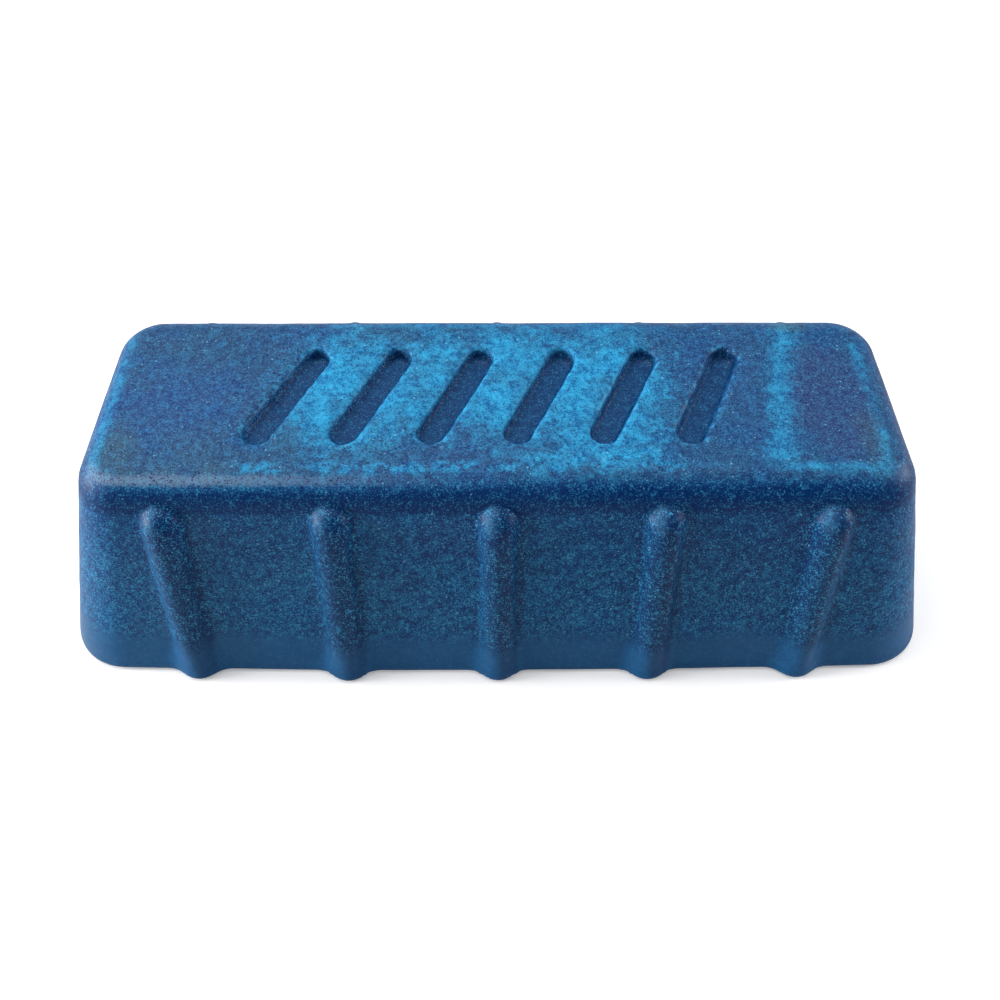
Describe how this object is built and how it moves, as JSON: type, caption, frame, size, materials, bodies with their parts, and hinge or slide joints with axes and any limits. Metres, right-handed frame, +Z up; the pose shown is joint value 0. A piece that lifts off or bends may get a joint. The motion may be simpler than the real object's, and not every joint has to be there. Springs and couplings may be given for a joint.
{
  "type": "buffing compound bar",
  "caption": "Cast block of solid polishing compound with drafted walls, rounded top edges, round-nosed ribs down both long sides and slanted grooves in the top.",
  "frame": {"origin": "middle of the flat base that the bar rests on", "axes": "+X along the bar's length, +Y across it, +Z up from the base to the top"},
  "size_m": [0.1268, 0.056, 0.0315],
  "materials": {
    "compound": "matte, waxy, with a paler dusty bloom"
  },
  "bodies": {
    "root": {"compound_bar": "compound"}
  },
  "joints": []
}
